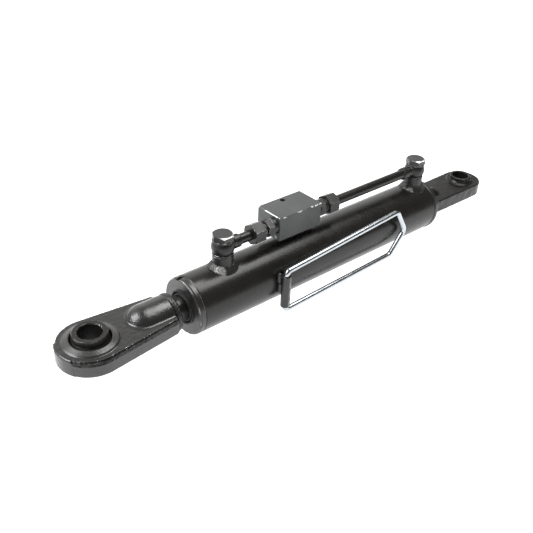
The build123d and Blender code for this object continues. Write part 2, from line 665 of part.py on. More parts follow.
for side, port_x in PORT_X.items():
    inward = PORT_INWARD[side]

    with BuildPart() as port_boss:
        turn_z(
            port_x,
            (THREAD_R, BOSS_FOOT_Z),
            (BOSS_R, BOSS_FOOT_Z),
            (BOSS_R, BOSS_TOP_Z - BOSS_EDGE),
            (BOSS_R - BOSS_EDGE, BOSS_TOP_Z),
            (THREAD_R, BOSS_TOP_Z),
        )
        barrel_space()
    port_boss.part.label = f"{side}_port_boss"
    export_step(port_boss.part, f"parts/{side}_port_boss.step")

    tube_outline = (
        (port_x - 2 * BOSS_R, 0),
        (port_x - 2 * BOSS_R, BARREL_R),
        (port_x + 2 * BOSS_R, BARREL_R),
        (port_x + 2 * BOSS_R, 0),
    )
    boss_outline = ((0, 0), (BOSS_R, 0), (BOSS_R, BOSS_TOP_Z), (0, BOSS_TOP_Z))
    with BuildPart() as port_weld:
        turn_x(*tube_outline)
        turn_z(port_x, *boss_outline)
        chamfer(port_weld.edges().filter_by(GeomType.BSPLINE), PORT_WELD_LEG)
        turn_x(*tube_outline, mode=Mode.SUBTRACT)
        turn_z(port_x, *boss_outline, mode=Mode.SUBTRACT)
        add(base_cap.part, mode=Mode.SUBTRACT)
        add(base_cap_weld.part, mode=Mode.SUBTRACT)
    port_weld.part.label = f"{side}_port_weld"
    export_step(port_weld.part, f"parts/{side}_port_weld.step")

    with BuildPart() as banjo_bolt:
        hexagon_bar(HEAD_AF, (port_x, 0, HEAD_BOTTOM_Z), (0, 0, 1), HEAD_HEIGHT)
        turn_z(
            port_x,
            (HEAD_AF / 2 - 0.1, HEAD_TOP_Z + 0.1),
            (HEAD_AF / 2 + 4, HEAD_TOP_Z - HEAD_CHAMFER),
            (HEAD_AF / 2 + 4, HEAD_TOP_Z + 0.1),
            mode=Mode.SUBTRACT,
        )
        turn_z(
            port_x,
            (0, HEAD_BOTTOM_Z),
            (THREAD_R, HEAD_BOTTOM_Z),
            (THREAD_R, PIPE_Z + WAIST_HALF),
            (WAIST_R, PIPE_Z + WAIST_HALF),
            (WAIST_R, PIPE_Z - WAIST_HALF),
            (THREAD_R, PIPE_Z - WAIST_HALF),
            (THREAD_R, SHANK_END_Z + 1),
            (THREAD_R - 1, SHANK_END_Z),
            (0, SHANK_END_Z),
        )
        turn_z(
            port_x,
            (0, SHANK_END_Z),
            (OIL_BORE_R, SHANK_END_Z),
            (OIL_BORE_R, PIPE_Z + 3),
            (0, PIPE_Z + 3),
            mode=Mode.SUBTRACT,
        )
        with Locations((port_x, 0, PIPE_Z)):
            Cylinder(CROSS_HOLE_R, 4 * WAIST_R, rotation=(0, 90, 0), mode=Mode.SUBTRACT)
    banjo_bolt.part.label = f"{side}_banjo_bolt"
    export_step(banjo_bolt.part, f"parts/{side}_banjo_bolt.step")

    with BuildPart() as banjo_body:
        foot_z = BOSS_TOP_Z + WASHER_THICK
        top_z = foot_z + BANJO_HEIGHT
        bolt_hole_r = THREAD_R + BOLT_PLAY
        with BuildSketch(Plane.XZ) as half:
            with BuildLine():
                Polyline(
                    (port_x + BANJO_END_R, top_z),
                    (port_x + bolt_hole_r, top_z),
                    (port_x + bolt_hole_r, foot_z),
                    (port_x + BANJO_END_R, foot_z),
                )
                ThreePointArc(
                    (port_x + BANJO_END_R, foot_z),
                    (port_x + BANJO_MID_R, PIPE_Z),
                    (port_x + BANJO_END_R, top_z),
                )
            make_face()
        revolve(half.sketch, axis=Axis((port_x, 0, 0), (0, 0, 1)))
        stub_end = port_x + inward * STUB_REACH[side]
        turn_x_at(
            PIPE_Z,
            (port_x + inward * (bolt_hole_r + 1.2), 0),
            (port_x + inward * (bolt_hole_r + 1.2), STUB_R - STUB_NECK),
            (stub_end - inward * (STUB_HEAD + STUB_NECK), STUB_R - STUB_NECK),
            (stub_end - inward * STUB_HEAD, STUB_R),
            (stub_end - inward * 1.6, STUB_R),
            (stub_end, PIPE_R + 0.5),
            (stub_end, 0),
        )
        socket_x = stub_end - inward * SOCKET_DEPTH
        turn_x_at(
            PIPE_Z, (socket_x, 0), (socket_x, PIPE_R), (stub_end, PIPE_R), (stub_end, 0), mode=Mode.SUBTRACT
        )
        turn_x_at(
            PIPE_Z,
            (port_x + inward * 2, 0),
            (port_x + inward * 2, PIPE_BORE_R),
            (stub_end, PIPE_BORE_R),
            (stub_end, 0),
            mode=Mode.SUBTRACT,
        )
        turn_z(
            port_x, (0, foot_z), (bolt_hole_r, foot_z), (bolt_hole_r, top_z), (0, top_z), mode=Mode.SUBTRACT
        )
    banjo_body.part.label = f"{side}_banjo_body"
    export_step(banjo_body.part, f"parts/{side}_banjo_body.step")

    with BuildPart() as banjo_washers:
        for under_z in (BOSS_TOP_Z, BOSS_TOP_Z + WASHER_THICK + BANJO_HEIGHT):
            turn_z(
                port_x,
                (THREAD_R + BOLT_PLAY, under_z),
                (WASHER_R - WASHER_EDGE, under_z),
                (WASHER_R, under_z + WASHER_EDGE),
                (WASHER_R, under_z + WASHER_THICK - WASHER_EDGE),
                (WASHER_R - WASHER_EDGE, under_z + WASHER_THICK),
                (THREAD_R + BOLT_PLAY, under_z + WASHER_THICK),
            )
    banjo_washers.part.label = f"{side}_banjo_washers"
    export_step(banjo_washers.part, f"parts/{side}_banjo_washers.step")

# ---------------------------------------------------------------- pipes and unions
STUD_BORE_R = CHECK_BALL_R + 0.4
SPRING_ROOM = 9.7
SPRING_STOP_R = 2.2
FLANGE_R = 9.3
STUD_EDGE = 0.8
NECK_GROOVE = 1.2
NUT_PLAY = 0.1

for side, port_x in PORT_X.items():
    outward = -PORT_INWARD[side]  # way from the block to the port
    face_x = BLOCK_X + outward * BLOCK_LENGTH / 2
    shoulder_x = face_x + outward * (UNION_SEAL + UNION_SHOULDER[side])
    hex_end_x = shoulder_x + outward * UNION_HEX
    nut_start_x = hex_end_x + outward * NECK_GAP
    neck_end_x = nut_start_x + outward * NECK_IN_NUT
    ring_end_x = neck_end_x + outward * CUTTING_RING
    nut_end_x = nut_start_x + outward * NUT_LENGTH
    stud_end_x = face_x - outward * STUD_LENGTH
    spring_end_x = stud_end_x + outward * SPRING_ROOM
    pipe_seat_x = hex_end_x + outward * 2.0
    seal_r = 10.2 if UNION_SHOULDER[side] else 9.2

    with BuildPart() as union_body:
        turn_x_at(
            PIPE_Z,
            (stud_end_x, 0),
            (stud_end_x, STUD_R - STUD_EDGE),
            (stud_end_x + outward * STUD_EDGE, STUD_R),
            (face_x + outward * UNION_SEAL, STUD_R),
            (face_x + outward * UNION_SEAL, FLANGE_R),
            (shoulder_x + outward * 0.5, FLANGE_R),
            (shoulder_x + outward * 0.5, 0),
        )
        hexagon_bar(UNION_AF, (shoulder_x, 0, PIPE_Z), (outward, 0, 0), UNION_HEX)
        turn_x_at(
            PIPE_Z,
            (hex_end_x + outward * 0.1, UNION_AF / 2 - 0.2),
            (hex_end_x - outward * 1.4, UNION_AF / 2 + 2.2),
            (hex_end_x + outward * 0.1, UNION_AF / 2 + 2.2),
            mode=Mode.SUBTRACT,
        )
        turn_x_at(
            PIPE_Z,
            (hex_end_x, 0),
            (hex_end_x, NECK_R - NECK_GROOVE),
            (hex_end_x + outward * 1.6, NECK_R - NECK_GROOVE),
            (hex_end_x + outward * 2.4, NECK_R),
            (neck_end_x - outward * 0.8, NECK_R),
            (neck_end_x, NECK_R - 0.8),
            (neck_end_x, 0),
        )
        turn_x_at(
            PIPE_Z,
            (stud_end_x, 0),
            (stud_end_x, STUD_BORE_R),
            (spring_end_x, STUD_BORE_R),
            (spring_end_x, SPRING_STOP_R),
            (pipe_seat_x, SPRING_STOP_R),
            (pipe_seat_x, PIPE_R),
            (neck_end_x, PIPE_R),
            (neck_end_x, 0),
            mode=Mode.SUBTRACT,
        )
    union_body.part.label = f"{side}_union_body"
    export_step(union_body.part, f"parts/{side}_union_body.step")

    with BuildPart() as union_seal:
        turn_x_at(
            PIPE_Z,
            (face_x, STUD_R),
            (face_x, seal_r),
            (face_x + outward * UNION_SEAL, seal_r),
            (face_x + outward * UNION_SEAL, STUD_R),
        )
    union_seal.part.label = f"{side}_union_seal"
    export_step(union_seal.part, f"parts/{side}_union_seal.step")

    with BuildPart() as tube_nut:
        hexagon_bar(TUBE_NUT_AF, (nut_start_x, 0, PIPE_Z), (outward, 0, 0), NUT_LENGTH)
        turn_x_at(
            PIPE_Z,
            (nut_end_x + outward * 0.1, TUBE_NUT_AF / 2),
            (nut_end_x - outward * 1.2, TUBE_NUT_AF / 2 + 2.2),
            (nut_end_x + outward * 0.1, TUBE_NUT_AF / 2 + 2.2),
            mode=Mode.SUBTRACT,
        )
        turn_x_at(
            PIPE_Z,
            (nut_start_x, 0),
            (nut_start_x, NECK_R),
            (ring_end_x, NECK_R),
            (ring_end_x, PIPE_R + NUT_PLAY),
            (nut_end_x, PIPE_R + NUT_PLAY),
            (nut_end_x, 0),
            mode=Mode.SUBTRACT,
        )
    tube_nut.part.label = f"{side}_tube_nut"
    export_step(tube_nut.part, f"parts/{side}_tube_nut.step")

    with BuildPart() as cutting_ring:
        turn_x_at(
            PIPE_Z,
            (neck_end_x, PIPE_R),
            (neck_end_x, PIPE_R + 1.6),
            (ring_end_x - outward * 0.8, NECK_R - 0.4),
            (ring_end_x, NECK_R - 0.8),
            (ring_end_x, PIPE_R),
        )
    cutting_ring.part.label = f"{side}_cutting_ring"
    export_step(cutting_ring.part, f"parts/{side}_cutting_ring.step")

    with BuildPart() as pipe:
        far_end_x = port_x - outward * (STUB_REACH[side] - SOCKET_DEPTH)
        turn_x_at(
            PIPE_Z,
            (pipe_seat_x, PIPE_BORE_R),
            (pipe_seat_x, PIPE_R),
            (far_end_x, PIPE_R),
            (far_end_x, PIPE_BORE_R),
        )
    pipe.part.label = f"{side}_pipe"
    export_step(pipe.part, f"parts/{side}_pipe.step")

# ---------------------------------------------------------------- lock valve
BLOCK_PLUG_R = 2.0
BLOCK_PLUG_DEPTH = 6.0
BLOCK_PLUG_AT = (-3.6, 42.8)  # y, z on the rod side's end face
BLOCK_MIN_X = BLOCK_X - BLOCK_LENGTH / 2
BLOCK_MAX_X = BLOCK_X + BLOCK_LENGTH / 2
SEAT_END = SEAT_X + SEAT_THICK
SPRING_WIRE_R = 0.35
SPRING_COIL_R = 2.4
SPRING_PITCH = 1.35
SPRING_START = SEAT_END + sqrt(CHECK_BALL_R**2 - SEAT_R**2) + CHECK_BALL_R

with BuildPart() as valve_block:
    middle = (
        BLOCK_X,
        (BLOCK_FRONT_Y + BLOCK_BACK_Y) / 2,
        (BLOCK_BOTTOM_Z + BLOCK_TOP_Z) / 2,
    )
    with Locations(middle):
        Box(BLOCK_LENGTH, BLOCK_BACK_Y - BLOCK_FRONT_Y, BLOCK_TOP_Z - BLOCK_BOTTOM_Z)
    chamfer(valve_block.edges(), BLOCK_EDGE)
    turn_x_at(
        PIPE_Z,
        (BLOCK_MIN_X, 0),
        (BLOCK_MIN_X, STUD_R),
        (BLOCK_MIN_X + STUD_LENGTH, STUD_R),
        (BLOCK_MIN_X + STUD_LENGTH, VALVE_BORE_R),
        (BLOCK_MAX_X - STUD_LENGTH, VALVE_BORE_R),
        (BLOCK_MAX_X - STUD_LENGTH, STUD_R),
        (BLOCK_MAX_X, STUD_R),
        (BLOCK_MAX_X, 0),
        mode=Mode.SUBTRACT,
    )
    back_plane = Plane(origin=(BLOCK_X, BLOCK_BACK_Y, PIPE_Z), x_dir=(1, 0, 0), z_dir=(0, 1, 0))
    for offset_x in (-HOSE_PORT_OFFSET, HOSE_PORT_OFFSET):
        with BuildSketch(back_plane):
            with Locations((offset_x, 0)):
                Circle(HOSE_PORT_R)
        extrude(amount=-HOSE_PORT_DEPTH, mode=Mode.SUBTRACT)
        with BuildSketch(back_plane.offset(-HOSE_PORT_DEPTH)):
            with Locations((offset_x, 0)):
                Circle(FEED_R)
        extrude(amount=HOSE_PORT_DEPTH - BLOCK_BACK_Y, mode=Mode.SUBTRACT)
    with BuildSketch(Plane.XY.offset(BLOCK_BOTTOM_Z)):
        with Locations((BLOCK_X, FIXING_HOLE_Y)):
            Circle(FIXING_HOLE_R)
    extrude(amount=BLOCK_TOP_Z - BLOCK_BOTTOM_Z, mode=Mode.SUBTRACT)
    with BuildSketch(Plane.YZ.offset(BLOCK_MIN_X)):
        with Locations(BLOCK_PLUG_AT):
            Circle(BLOCK_PLUG_R)
    extrude(amount=BLOCK_PLUG_DEPTH, mode=Mode.SUBTRACT)
valve_block.part.label = "valve_block"
export_step(valve_block.part, "parts/valve_block.step")

with BuildPart() as block_plug:
    with BuildSketch(Plane.YZ.offset(BLOCK_MIN_X - 0.4)):
        with Locations(BLOCK_PLUG_AT):
            Circle(BLOCK_PLUG_R)
    extrude(amount=BLOCK_PLUG_DEPTH + 0.4)
    chamfer(block_plug.edges().group_by(Axis.X)[0], 0.5)
block_plug.part.label = "block_plug"
export_step(block_plug.part, "parts/block_plug.step")

for side in PORT_X:
    outward = -PORT_INWARD[side]

    with BuildPart() as check_seat:
        turn_x_at(
            PIPE_Z,
            (BLOCK_X + outward * SEAT_X, SEAT_R),
            (BLOCK_X + outward * SEAT_X, VALVE_BORE_R),
            (BLOCK_X + outward * SEAT_END, VALVE_BORE_R),
            (BLOCK_X + outward * SEAT_END, SEAT_R),
        )
    check_seat.part.label = f"{side}_check_seat"
    export_step(check_seat.part, f"parts/{side}_check_seat.step")

    with BuildPart() as check_ball:
        with Locations((BLOCK_X + outward * (SPRING_START - CHECK_BALL_R + 0.02), 0, PIPE_Z)):
            Sphere(CHECK_BALL_R)
    check_ball.part.label = f"{side}_check_ball"
    export_step(check_ball.part, f"parts/{side}_check_ball.step")

    with BuildPart() as check_spring:
        first_x = BLOCK_X + outward * (SPRING_START + SPRING_WIRE_R + 0.15)
        last_x = BLOCK_X + outward * (BLOCK_LENGTH / 2 - STUD_LENGTH + SPRING_ROOM - SPRING_WIRE_R - 0.1)
        with BuildLine() as coil:
            Helix(
                pitch=SPRING_PITCH,
                height=abs(last_x - first_x),
                radius=SPRING_COIL_R,
                center=(first_x, 0, PIPE_Z),
                direction=(outward, 0, 0),
            )
        with BuildSketch(Plane(origin=coil.line @ 0, z_dir=coil.line % 0)):
            Circle(SPRING_WIRE_R)
        sweep()
    check_spring.part.label = f"{side}_check_spring"
    export_step(check_spring.part, f"parts/{side}_check_spring.step")

PILOT_TIP = SEAT_END + sqrt(CHECK_BALL_R**2 - SEAT_R**2) - CHECK_BALL_R - 0.04
LAND_HALF = 8.0
LAND_R = VALVE_BORE_R - 0.03
with BuildPart() as pilot_piston:
    turn_x_at(
        PIPE_Z,
        (BLOCK_X - PILOT_TIP, 0),
        (BLOCK_X - PILOT_TIP, PILOT_PIN_R),
        (BLOCK_X - LAND_HALF, PILOT_PIN_R),
        (BLOCK_X - LAND_HALF, LAND_R),
        (BLOCK_X - 1, LAND_R),
        (BLOCK_X - 1, LAND_R - 0.6),
        (BLOCK_X + 1, LAND_R - 0.6),
        (BLOCK_X + 1, LAND_R),
        (BLOCK_X + LAND_HALF, LAND_R),
        (BLOCK_X + LAND_HALF, PILOT_PIN_R),
        (BLOCK_X + PILOT_TIP, PILOT_PIN_R),
        (BLOCK_X + PILOT_TIP, 0),
    )
pilot_piston.part.label = "pilot_piston"
export_step(pilot_piston.part, "parts/pilot_piston.step")

# ---------------------------------------------------------------- carrying bail
SLEEVE_SLOT = 1.6
HINGE_PLAY = 0.08
BEAD_R = 2.8
BEAD_LEAN_X = 4.6
BEADS = ((-6.0, 3.0, -35.2), (7.5, 14.0, -33.6))  # low z, high z, y
SLOT_TURN = -25.0  # the strip's open seam, in degrees from +X
sleeve_axis = Axis((SLEEVE_X, SLEEVE_Y, 0), (0, 0, 1))

with BuildPart() as bail_sleeve:
    with BuildSketch(Plane.XY.offset(SLEEVE_BOTTOM_Z)):
        with Locations((SLEEVE_X, SLEEVE_Y)):
            Circle(SLEEVE_R)
            Circle(WIRE_R + HINGE_PLAY, mode=Mode.SUBTRACT)
        slot_middle = (
            SLEEVE_X + SLEEVE_R * cos(radians(SLOT_TURN)),
            SLEEVE_Y + SLEEVE_R * sin(radians(SLOT_TURN)),
        )
        with Locations(Location((*slot_middle, 0), (0, 0, SLOT_TURN))):
            Rectangle(SLEEVE_R, SLEEVE_SLOT, mode=Mode.SUBTRACT)
    extrude(amount=SLEEVE_TOP_Z - SLEEVE_BOTTOM_Z)
bail_sleeve.part.label = "bail_sleeve"
export_step(bail_sleeve.part, "parts/bail_sleeve.step")

with BuildPart() as bail_sleeve_welds:
    for lean_x in (-BEAD_LEAN_X, BEAD_LEAN_X):
        for low_z, high_z, bead_y in BEADS:
            with BuildSketch(Plane.XZ.offset(-bead_y)) as half:
                with BuildLine():
                    centre = SLEEVE_X + lean_x
                    Line((centre, low_z - BEAD_R), (centre, high_z + BEAD_R))
                    ThreePointArc(
                        (centre, high_z + BEAD_R),
                        (centre + BEAD_R * cos(radians(45)), high_z + BEAD_R * sin(radians(45))),
                        (centre + BEAD_R, high_z),
                    )
                    Line((centre + BEAD_R, high_z), (centre + BEAD_R, low_z))
                    ThreePointArc(
                        (centre + BEAD_R, low_z),
                        (centre + BEAD_R * cos(radians(45)), low_z - BEAD_R * sin(radians(45))),
                        (centre, low_z - BEAD_R),
                    )
                make_face()
            revolve(half.sketch, axis=Axis((SLEEVE_X + lean_x, bead_y, 0), (0, 0, 1)))
    with Locations((SLEEVE_X, SLEEVE_Y, 0)):
        Cylinder(SLEEVE_R, 2 * BARREL_R, mode=Mode.SUBTRACT)
    barrel_space()
bail_sleeve_welds.part.label = "bail_sleeve_welds"
export_step(bail_sleeve_welds.part, "parts/bail_sleeve_welds.step")

PIN_GAP = 1.2
HINGE_BEND_R = 5.4
FAR_BEND_R = 9.0
PIN_MIDDLE_Z = (SLEEVE_TOP_Z + SLEEVE_BOTTOM_Z) / 2
with BuildPart() as wire_bail:
    with BuildLine(Plane.XZ.offset(-SLEEVE_Y)) as wire_path:
        FilletPolyline(
            (SLEEVE_X, PIN_MIDDLE_Z + PIN_GAP),
            (SLEEVE_X, 20.4),
            (-186.8, 35.0),
            (-167.2, 3.5),
            (-190.6, -25.6),
            (SLEEVE_X, -32.2),
            (SLEEVE_X, PIN_MIDDLE_Z - PIN_GAP),
            radius=[HINGE_BEND_R, FAR_BEND_R, FAR_BEND_R, FAR_BEND_R, HINGE_BEND_R],
        )
    with BuildSketch(Plane(origin=wire_path.line @ 0, z_dir=wire_path.line % 0)):
        Circle(WIRE_R)
    sweep()
wire_bail.part.label = "wire_bail"
export_step(wire_bail.part, "parts/wire_bail.step")
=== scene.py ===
"""Looks of the hydraulic top link: a white studio, the camera, and a worked finish for every piece."""

import json
import math

import bpy
import numpy as np
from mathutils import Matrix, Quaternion, Vector, noise


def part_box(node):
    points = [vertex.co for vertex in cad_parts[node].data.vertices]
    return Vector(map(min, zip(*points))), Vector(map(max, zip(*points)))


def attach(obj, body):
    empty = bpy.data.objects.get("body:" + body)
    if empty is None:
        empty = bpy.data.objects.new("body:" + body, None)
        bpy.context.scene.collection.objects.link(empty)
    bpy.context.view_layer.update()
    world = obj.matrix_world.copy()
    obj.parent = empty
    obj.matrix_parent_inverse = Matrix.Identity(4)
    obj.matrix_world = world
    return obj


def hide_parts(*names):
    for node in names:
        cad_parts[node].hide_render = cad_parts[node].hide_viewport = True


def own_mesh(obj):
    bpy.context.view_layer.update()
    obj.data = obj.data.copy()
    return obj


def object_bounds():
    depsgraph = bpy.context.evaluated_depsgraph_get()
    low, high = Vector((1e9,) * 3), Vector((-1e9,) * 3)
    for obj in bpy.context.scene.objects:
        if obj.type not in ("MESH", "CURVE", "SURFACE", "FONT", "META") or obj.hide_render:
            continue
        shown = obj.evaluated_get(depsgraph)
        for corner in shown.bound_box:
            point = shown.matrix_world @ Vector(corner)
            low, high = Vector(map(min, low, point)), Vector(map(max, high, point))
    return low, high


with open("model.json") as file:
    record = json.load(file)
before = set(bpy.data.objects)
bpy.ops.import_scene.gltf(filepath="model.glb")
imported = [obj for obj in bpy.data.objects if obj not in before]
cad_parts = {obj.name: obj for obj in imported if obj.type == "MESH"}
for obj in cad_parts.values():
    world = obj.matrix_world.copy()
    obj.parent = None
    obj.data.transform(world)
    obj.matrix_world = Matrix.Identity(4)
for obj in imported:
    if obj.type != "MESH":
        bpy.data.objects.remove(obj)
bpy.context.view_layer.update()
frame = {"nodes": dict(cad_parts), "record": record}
nodes = frame["nodes"]
MM = 0.001
SIDES = ("rod_side", "base_side")
ROD_LIP_R = 29.2 * MM  # foot of the turned lip round the rod eye's ball
BASE_LIP_R = 19.0 * MM  # just outside the base eye's lip
PLATE_HALF = 9.8 * MM  # half the thickness of the rod eye's plate
BALL_R = 22.5 * MM
BOSS_R = 21.9 * MM
PARTING_Z = 4.2 * MM  # where the two halves of the forging die met


def frame_mount(name):
    """The place of a mount in the record, in metres."""
    return next(mount["pos_m"] for mount in frame["record"]["mounts"] if mount["name"] == name)


def middle_of(name):
    """The middle of a node's box."""
    low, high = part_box(name)
    return (low + high) / 2


def body_of_node(name):
    bodies = frame["record"]["behaviour"]["bodies"]
    return next(body for body, members in bodies.items() if name in members)


# ---------------------------------------------------------------- camera, floor and light
CAMERA_PLACE = Vector((-0.8507, -0.5345, 0.4765))
CAMERA_YAW = 47.79
CAMERA_PITCH = -33.18
CAMERA_ROLL = 2.68
CAMERA_LENS = 50.1


def add_camera():
    """The camera stands over the rod end and looks down the link."""
    data = bpy.data.cameras.new("camera")
    data.lens = CAMERA_LENS
    data.clip_start = 0.02
    camera = bpy.data.objects.new("camera", data)
    bpy.context.scene.collection.objects.link(camera)
    yaw, pitch = math.radians(CAMERA_YAW), math.radians(CAMERA_PITCH)
    ahead = Vector((math.cos(yaw) * math.cos(pitch), math.sin(yaw) * math.cos(pitch), math.sin(pitch)))
    roll = Quaternion((0, 0, 1), math.radians(CAMERA_ROLL))
    camera.rotation_mode = "QUATERNION"
    camera.rotation_quaternion = ahead.to_track_quat("-Z", "Y") @ roll
    camera.location = CAMERA_PLACE
    bpy.context.scene.camera = camera


def add_floor():
    """A floor just under the link, which glows like lit white paper."""
    reach = 6.0
    gap = 0.4 * MM
    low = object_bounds()[0].z - gap
    mesh = bpy.data.meshes.new("floor")
    corners = [(-reach, -reach, low), (reach, -reach, low), (reach, reach, low), (-reach, reach, low)]
    mesh.from_pydata(corners, [], [(0, 1, 2, 3)])
    floor = bpy.data.objects.new("floor", mesh)
    bpy.context.scene.collection.objects.link(floor)
    material = bpy.data.materials.new("white_paper")
    material.use_nodes = True
    paper = material.node_tree.nodes["Principled BSDF"]
    paper.inputs["Base Color"].default_value = (0.28, 0.28, 0.28, 1)
    paper.inputs["Roughness"].default_value = 0.9
    paper.inputs["Specular IOR Level"].default_value = 0.1
    paper.inputs["Emission Color"].default_value = (0.985, 0.995, 1.0, 1)
    paper.inputs["Emission Strength"].default_value = 1.4
    mesh.materials.append(material)


def add_soft_box(name, place, target, size, power, colour):
    """A rectangular soft light that faces its target."""
    data = bpy.data.lights.new(name, "AREA")
    data.shape = "RECTANGLE"
    data.size, data.size_y = size
    data.energy = power
    data.color = colour
    light = bpy.data.objects.new(name, data)
    bpy.context.scene.collection.objects.link(light)
    light.location = place
    light.rotation_mode = "QUATERNION"
    light.rotation_quaternion = (Vector(target) - Vector(place)).to_track_quat("-Z", "Y")
    light.visible_camera = False
    return light


def add_fill():
    """Even light from above for matt surfaces, with no reflection of its own."""
    fill = add_soft_box("fill_light", (-0.3, -0.2, 1.8), (-0.3, 0, 0), (2.0, 2.0), 2, (1.0, 1.0, 1.0))
    fill.visible_glossy = False


def add_world():
    """Surroundings: pale to the eye. Their light is strongest from behind and from the rod end."""
    world = bpy.data.worlds.new("studio")
    bpy.context.scene.world = world
    world.use_nodes = True
    tree = world.node_tree
    tree.nodes.clear()
    place = tree.nodes.new("ShaderNodeTexCoord")
    split = tree.nodes.new("ShaderNodeSeparateXYZ")
    turn = tree.nodes.new("ShaderNodeMath")
    turn.operation = "MULTIPLY_ADD"
    turn.inputs[1].default_value = -0.35
    fade = tree.nodes.new("ShaderNodeMapRange")
    fade.interpolation_type = "SMOOTHSTEP"
    fade.inputs["From Min"].default_value = -0.25
    fade.inputs["From Max"].default_value = 0.75
    fade.inputs["To Min"].default_value = 0.15
    fade.inputs["To Max"].default_value = 0.74
    lit = tree.nodes.new("ShaderNodeBackground")
    lit.inputs["Color"].default_value = (1.0, 0.985, 0.965, 1)
    seen = tree.nodes.new("ShaderNodeBackground")
    seen.inputs["Color"].default_value = (0.97, 0.975, 0.98, 1)
    ray = tree.nodes.new("ShaderNodeLightPath")
    mix = tree.nodes.new("ShaderNodeMixShader")
    out = tree.nodes.new("ShaderNodeOutputWorld")
    link = tree.links.new
    link(place.outputs["Generated"], split.inputs[0])
    link(split.outputs["X"], turn.inputs[0])
    link(split.outputs["Y"], turn.inputs[2])
    link(turn.outputs[0], fade.inputs["Value"])
    link(fade.outputs["Result"], lit.inputs["Strength"])
    link(ray.outputs["Is Camera Ray"], mix.inputs["Fac"])
    link(lit.outputs[0], mix.inputs[1])
    link(seen.outputs[0], mix.inputs[2])
    link(mix.outputs[0], out.inputs["Surface"])


def add_lights():
    """Three soft boxes round the link's middle."""
    middle = (-0.3, 0, 0.02)
    add_soft_box("top_light", (0.1, -0.05, 1.3), middle, (0.85, 0.85), 19, (1.0, 0.995, 0.98))
    add_soft_box("rear_light", (0.3, 1.6, 0.75), middle, (2.6, 1.0), 6, (0.98, 0.99, 1.0))
    add_soft_box("rod_end_light", (-1.4, 0.5, 1.0), middle, (0.9, 0.9), 26, (0.97, 0.985, 1.0))


